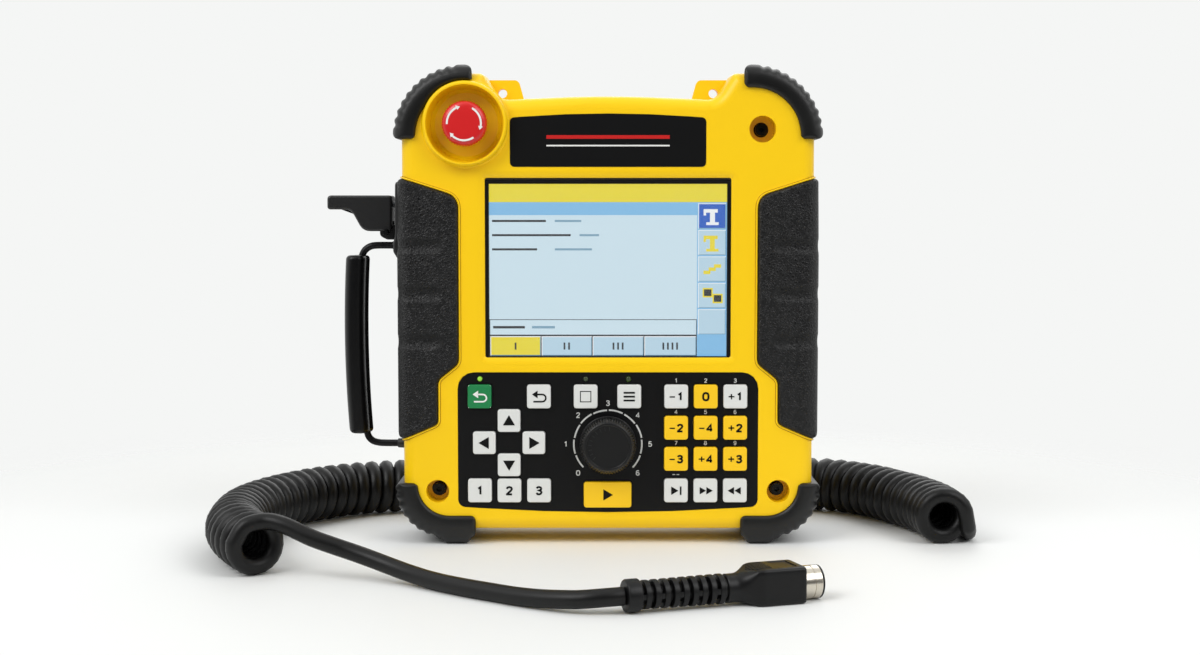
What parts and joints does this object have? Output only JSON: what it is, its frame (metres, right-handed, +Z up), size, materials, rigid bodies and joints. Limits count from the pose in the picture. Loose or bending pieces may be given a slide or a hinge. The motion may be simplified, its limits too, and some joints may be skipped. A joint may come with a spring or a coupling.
{
  "type": "teach pendant",
  "caption": "Hand-held robot teach pendant with screen, jog keypad, speed dial, guarded stop button, enable lever and folding bail, on a curly cord with a round plug.",
  "frame": {"origin": "middle of the footprint of the pendant without its cord, on the surface that it stands on", "axes": "+X across the pendant to the right as seen from its front, +Y from front to back, +Z up"},
  "size_m": [0.4355, 0.347, 0.2714],
  "materials": {
    "yellow_shell": "moulded, satin",
    "seal_rubber": "matt",
    "black_plate": "satin film",
    "soft_grip": "soft touch, leather grain",
    "bumper_rubber": "matt",
    "screw_steel": "plain",
    "screen_glass": "clear",
    "lcd_metal": "plain",
    "circuit_board": "solder mask",
    "light_green": "clear lens",
    "black_moulding": "moulded, satin",
    "cord_jacket": "smooth jacket",
    "nickel": "nickel plate",
    "stem_grey": "moulded",
    "stop_red": "moulded",
    "key_green": "satin",
    "key_yellow": "satin",
    "key_grey": "satin"
  },
  "bodies": {
    "housing": {"front_cover": "yellow_shell", "rear_cover": "yellow_shell", "housing_seal": "seal_rubber", "name_plate": "black_plate", "grip_left": "soft_grip", "grip_right": "soft_grip", "bumper_top_left": "bumper_rubber", "bumper_top_right": "bumper_rubber", "bumper_bottom_left": "bumper_rubber", "bumper_bottom_right": "bumper_rubber", "cover_screws": "screw_steel", "screen_bezel": "black_plate", "touch_glass": "screen_glass", "lcd_module": "lcd_metal", "keypad_panel": "black_plate", "keypad_board": "circuit_board", "status_lights": "light_green", "dial_pot": "lcd_metal", "stop_block": "black_moulding", "side_bracket": "black_moulding", "lever_pin": "screw_steel", "bail_lug": "black_moulding", "main_board": "circuit_board", "cable_gland": "black_moulding", "cord_tail": "cord_jacket", "cord_coil": "cord_jacket", "cord_lead": "cord_jacket", "plug_body": "black_moulding", "plug_shell": "nickel"},
    "key_select": {"key_select": "key_green"},
    "key_return": {"key_return": "key_grey"},
    "key_reset": {"key_reset": "key_grey"},
    "key_mode": {"key_mode": "key_grey"},
    "key_up": {"key_up": "key_grey"},
    "key_down": {"key_down": "key_grey"},
    "key_left": {"key_left": "key_grey"},
    "key_right": {"key_right": "key_grey"},
    "key_low_1": {"key_low_1": "key_grey"},
    "key_low_2": {"key_low_2": "key_grey"},
    "key_low_3": {"key_low_3": "key_grey"},
    "key_start": {"key_start": "key_yellow"},
    "key_jog_1_minus": {"key_jog_1_minus": "key_grey"},
    "key_jog_1_lock": {"key_jog_1_lock": "key_yellow"},
    "key_jog_1_plus": {"key_jog_1_plus": "key_grey"},
    "key_jog_2_minus": {"key_jog_2_minus": "key_yellow"},
    "key_jog_2_mid": {"key_jog_2_mid": "key_yellow"},
    "key_jog_2_plus": {"key_jog_2_plus": "key_yellow"},
    "key_jog_3_minus": {"key_jog_3_minus": "key_yellow"},
    "key_jog_3_mid": {"key_jog_3_mid": "key_yellow"},
    "key_jog_3_plus": {"key_jog_3_plus": "key_yellow"},
    "key_step": {"key_step": "key_grey"},
    "key_forward": {"key_forward": "key_grey"},
    "key_backward": {"key_backward": "key_grey"},
    "dial": {"speed_dial": "black_moulding"},
    "stop_stem_body": {"stop_stem": "stem_grey"},
    "stop_head_body": {"stop_head": "stop_red"},
    "lever": {"enable_lever": "black_moulding"},
    "plunger": {"enable_plunger": "stem_grey"},
    "bail": {"bail_rod": "screw_steel", "bail_sleeve": "soft_grip"}
  },
  "joints": [
    {"name": "key_select_press", "type": "slide", "parent": "housing", "child": "key_select", "axis": [0, 1, 0], "range_m": [0, 0.0012], "stiffness_N_per_m": 800, "springref_m": -0.0004},
    {"name": "key_return_press", "type": "slide", "parent": "housing", "child": "key_return", "axis": [0, 1, 0], "range_m": [0, 0.0012], "stiffness_N_per_m": 800, "springref_m": -0.0004},
    {"name": "key_reset_press", "type": "slide", "parent": "housing", "child": "key_reset", "axis": [0, 1, 0], "range_m": [0, 0.0012], "stiffness_N_per_m": 800, "springref_m": -0.0004},
    {"name": "key_mode_press", "type": "slide", "parent": "housing", "child": "key_mode", "axis": [0, 1, 0], "range_m": [0, 0.0012], "stiffness_N_per_m": 800, "springref_m": -0.0004},
    {"name": "key_up_press", "type": "slide", "parent": "housing", "child": "key_up", "axis": [0, 1, 0], "range_m": [0, 0.0012], "stiffness_N_per_m": 800, "springref_m": -0.0004},
    {"name": "key_down_press", "type": "slide", "parent": "housing", "child": "key_down", "axis": [0, 1, 0], "range_m": [0, 0.0012], "stiffness_N_per_m": 800, "springref_m": -0.0004},
    {"name": "key_left_press", "type": "slide", "parent": "housing", "child": "key_left", "axis": [0, 1, 0], "range_m": [0, 0.0012], "stiffness_N_per_m": 800, "springref_m": -0.0004},
    {"name": "key_right_press", "type": "slide", "parent": "housing", "child": "key_right", "axis": [0, 1, 0], "range_m": [0, 0.0012], "stiffness_N_per_m": 800, "springref_m": -0.0004},
    {"name": "key_low_1_press", "type": "slide", "parent": "housing", "child": "key_low_1", "axis": [0, 1, 0], "range_m": [0, 0.0012], "stiffness_N_per_m": 800, "springref_m": -0.0004},
    {"name": "key_low_2_press", "type": "slide", "parent": "housing", "child": "key_low_2", "axis": [0, 1, 0], "range_m": [0, 0.0012], "stiffness_N_per_m": 800, "springref_m": -0.0004},
    {"name": "key_low_3_press", "type": "slide", "parent": "housing", "child": "key_low_3", "axis": [0, 1, 0], "range_m": [0, 0.0012], "stiffness_N_per_m": 800, "springref_m": -0.0004},
    {"name": "key_start_press", "type": "slide", "parent": "housing", "child": "key_start", "axis": [0, 1, 0], "range_m": [0, 0.0012], "stiffness_N_per_m": 800, "springref_m": -0.0004},
    {"name": "key_jog_1_minus_press", "type": "slide", "parent": "housing", "child": "key_jog_1_minus", "axis": [0, 1, 0], "range_m": [0, 0.0012], "stiffness_N_per_m": 800, "springref_m": -0.0004},
    {"name": "key_jog_1_lock_press", "type": "slide", "parent": "housing", "child": "key_jog_1_lock", "axis": [0, 1, 0], "range_m": [0, 0.0012], "stiffness_N_per_m": 800, "springref_m": -0.0004},
    {"name": "key_jog_1_plus_press", "type": "slide", "parent": "housing", "child": "key_jog_1_plus", "axis": [0, 1, 0], "range_m": [0, 0.0012], "stiffness_N_per_m": 800, "springref_m": -0.0004},
    {"name": "key_jog_2_minus_press", "type": "slide", "parent": "housing", "child": "key_jog_2_minus", "axis": [0, 1, 0], "range_m": [0, 0.0012], "stiffness_N_per_m": 800, "springref_m": -0.0004},
    {"name": "key_jog_2_mid_press", "type": "slide", "parent": "housing", "child": "key_jog_2_mid", "axis": [0, 1, 0], "range_m": [0, 0.0012], "stiffness_N_per_m": 800, "springref_m": -0.0004},
    {"name": "key_jog_2_plus_press", "type": "slide", "parent": "housing", "child": "key_jog_2_plus", "axis": [0, 1, 0], "range_m": [0, 0.0012], "stiffness_N_per_m": 800, "springref_m": -0.0004},
    {"name": "key_jog_3_minus_press", "type": "slide", "parent": "housing", "child": "key_jog_3_minus", "axis": [0, 1, 0], "range_m": [0, 0.0012], "stiffness_N_per_m": 800, "springref_m": -0.0004},
    {"name": "key_jog_3_mid_press", "type": "slide", "parent": "housing", "child": "key_jog_3_mid", "axis": [0, 1, 0], "range_m": [0, 0.0012], "stiffness_N_per_m": 800, "springref_m": -0.0004},
    {"name": "key_jog_3_plus_press", "type": "slide", "parent": "housing", "child": "key_jog_3_plus", "axis": [0, 1, 0], "range_m": [0, 0.0012], "stiffness_N_per_m": 800, "springref_m": -0.0004},
    {"name": "key_step_press", "type": "slide", "parent": "housing", "child": "key_step", "axis": [0, 1, 0], "range_m": [0, 0.0012], "stiffness_N_per_m": 800, "springref_m": -0.0004},
    {"name": "key_forward_press", "type": "slide", "parent": "housing", "child": "key_forward", "axis": [0, 1, 0], "range_m": [0, 0.0012], "stiffness_N_per_m": 800, "springref_m": -0.0004},
    {"name": "key_backward_press", "type": "slide", "parent": "housing", "child": "key_backward", "axis": [0, 1, 0], "range_m": [0, 0.0012], "stiffness_N_per_m": 800, "springref_m": -0.0004},
    {"name": "dial_turn", "type": "hinge", "parent": "housing", "child": "dial", "pos_m": [0.01975, -0.03625, 0.0576], "axis": [0, 1, 0], "range_deg": [-135, 135]},
    {"name": "stop_push", "type": "slide", "parent": "housing", "child": "stop_stem_body", "axis": [0, 1, 0], "range_m": [0, 0.004]},
    {"name": "stop_twist", "type": "hinge", "parent": "stop_stem_body", "child": "stop_head_body", "pos_m": [-0.06015, -0.03525, 0.2378], "axis": [0, 1, 0], "range_deg": [0, 40], "stiffness_Nm_per_rad": 0.03, "springref_deg": -5.73},
    {"name": "lever_swing", "type": "hinge", "parent": "housing", "child": "lever", "pos_m": [-0.10725, -0.00125, 0.177], "axis": [0, -1, 0], "range_deg": [0, 7], "stiffness_Nm_per_rad": 0.8, "springref_deg": -5.73},
    {"name": "plunger_slide", "type": "slide", "parent": "housing", "child": "plunger", "axis": [-1, 0, 0], "range_m": [0, 0.002]},
    {"name": "bail_swing", "type": "hinge", "parent": "housing", "child": "bail", "pos_m": [-0.10535, -0.00125, 0.11], "axis": [0, 0, 1], "range_deg": [-60, 60]}
  ],
  "couplings": [
    {"joint": "plunger_slide", "follows": "lever_swing", "m_per_rad": 0.016}
  ]
}
